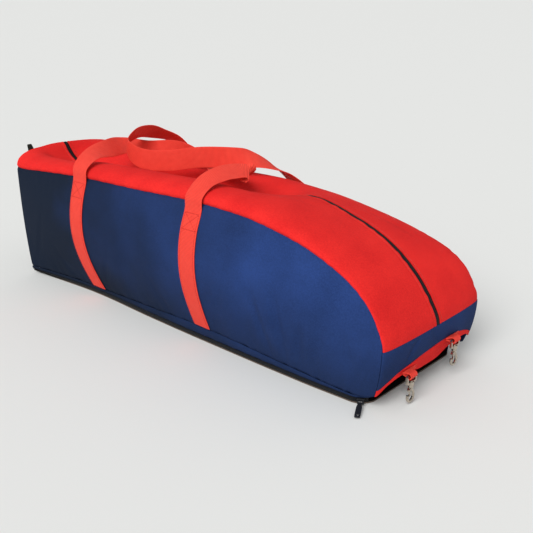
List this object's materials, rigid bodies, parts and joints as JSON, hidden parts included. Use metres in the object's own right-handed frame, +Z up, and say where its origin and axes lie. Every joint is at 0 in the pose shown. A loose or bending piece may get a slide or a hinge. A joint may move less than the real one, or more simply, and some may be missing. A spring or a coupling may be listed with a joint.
{
  "type": "baseball equipment bag",
  "caption": "Long stuffed cloth duffel for ball gear, zipped along its top, with crossed webbing handles, a zipped sleeve along its base and snap hooks over the sleeve's open mouth.",
  "frame": {"origin": "on the floor under the middle of the bag, on the flat underside of the bottom panel", "axes": "+X along the bag to its mouth end with the hooks, +Y to the back, +Z up"},
  "size_m": [0.9574, 0.3263, 0.332],
  "materials": {
    "navy_cloth": "woven polyester duck, matt",
    "red_cloth": "woven polyester duck, matt",
    "red_webbing": "cross-ribbed polypropylene webbing",
    "zipper_tape": "black coil zipper on woven tape",
    "black_webbing": "black polypropylene webbing",
    "base_cloth": "coated woven base cloth, dull",
    "nickel": "nickel-plated die-cast metal",
    "black_metal": "black enamel on die-cast metal"
  },
  "bodies": {
    "bag": {"bottom_panel": "base_cloth", "base_wall_front": "navy_cloth", "base_wall_back": "navy_cloth", "sleeve_zipper": "zipper_tape", "front_panel": "navy_cloth", "back_panel": "navy_cloth", "left_end_panel": "navy_cloth", "right_end_band": "navy_cloth", "mouth_facing": "red_cloth", "top_panel_front": "red_cloth", "top_panel_back": "red_cloth", "main_zipper": "zipper_tape", "handle_front": "red_webbing", "handle_rear": "red_webbing", "hook_tab_front": "red_webbing", "hook_tab_rear": "red_webbing", "sleeve_zip_slider": "black_metal", "main_zip_slider": "black_metal", "end_tab": "black_webbing"},
    "eye_front": {"hook_eye_front": "nickel"},
    "hook_front": {"hook_body_front": "nickel"},
    "gate_front": {"hook_gate_front": "nickel"},
    "eye_rear": {"hook_eye_rear": "nickel"},
    "hook_rear": {"hook_body_rear": "nickel"},
    "gate_rear": {"hook_gate_rear": "nickel"},
    "sleeve_pull": {"sleeve_zip_pull": "black_metal"},
    "main_pull": {"main_zip_pull": "black_metal"}
  },
  "joints": [
    {"name": "hook_front_swing", "type": "hinge", "parent": "bag", "child": "eye_front", "pos_m": [0.475, -0.077, 0.049], "axis": [0, 1, 0], "range_deg": [-80, 10]},
    {"name": "hook_front_swivel", "type": "hinge", "parent": "eye_front", "child": "hook_front", "pos_m": [0.475, -0.077, 0.035], "axis": [0, 0, 1], "continuous": true},
    {"name": "hook_front_gate", "type": "hinge", "parent": "hook_front", "child": "gate_front", "pos_m": [0.475, -0.0813, 0.0242], "axis": [1, 0, 0], "range_deg": [0, 30], "stiffness_Nm_per_rad": 0.02, "springref_deg": -17.19},
    {"name": "hook_rear_swing", "type": "hinge", "parent": "bag", "child": "eye_rear", "pos_m": [0.479, 0.043, 0.0685], "axis": [0, 1, 0], "range_deg": [-80, 10]},
    {"name": "hook_rear_swivel", "type": "hinge", "parent": "eye_rear", "child": "hook_rear", "pos_m": [0.479, 0.043, 0.0545], "axis": [0, 0, 1], "continuous": true},
    {"name": "hook_rear_gate", "type": "hinge", "parent": "hook_rear", "child": "gate_rear", "pos_m": [0.479, 0.0387, 0.0437], "axis": [1, 0, 0], "range_deg": [0, 30], "stiffness_Nm_per_rad": 0.02, "springref_deg": -17.19},
    {"name": "sleeve_pull_lift", "type": "hinge", "parent": "bag", "child": "sleeve_pull", "pos_m": [0.42305, -0.13428, 0.0068], "axis": [-0.8776, -0.4794, 0], "range_deg": [0, 50]},
    {"name": "main_pull_lift", "type": "hinge", "parent": "bag", "child": "main_pull", "pos_m": [-0.14994, -0.00238, 0.24424], "axis": [0, 1, 0], "range_deg": [0, 90]}
  ]
}
